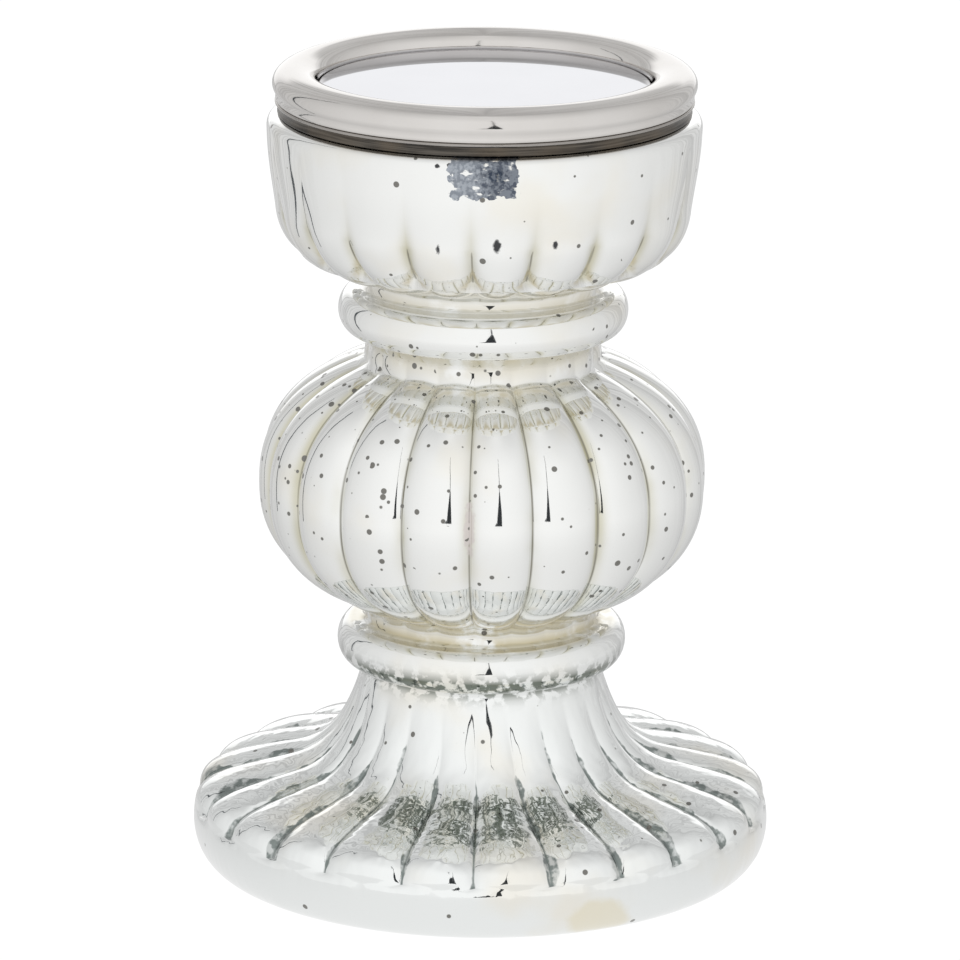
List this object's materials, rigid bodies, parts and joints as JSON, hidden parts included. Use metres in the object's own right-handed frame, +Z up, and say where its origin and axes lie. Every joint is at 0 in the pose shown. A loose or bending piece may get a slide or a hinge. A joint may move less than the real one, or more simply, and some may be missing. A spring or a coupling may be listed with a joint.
{
  "type": "tealight holder",
  "caption": "Fluted silvered-glass candle stand with a wide lobed foot, a melon-shaped globe between two beads, a round bowl and a metal cap with a tube rim for the candle.",
  "frame": {"origin": "centre of the foot, on the surface that it stands on", "axes": "+Z up along the turning axis; a glass groove lies on -Y, which is the front"},
  "size_m": [0.1428, 0.1428, 0.2],
  "materials": {
    "glass": "clear blown glass, glossy, fluted outside",
    "silver_lining": "antiqued silver mirror with small worn specks and warm stains",
    "cement": "matte set adhesive",
    "dark_metal": "dark bronzed sheet metal",
    "nickel": "polished nickel plate, slightly warm",
    "plate_metal": "polished nickel plate, flat"
  },
  "bodies": {
    "root": {"glass_body": "glass", "silvering": "silver_lining", "cement_ring": "cement", "collar_band": "dark_metal", "rim_ring": "nickel", "candle_plate": "plate_metal"}
  },
  "joints": []
}
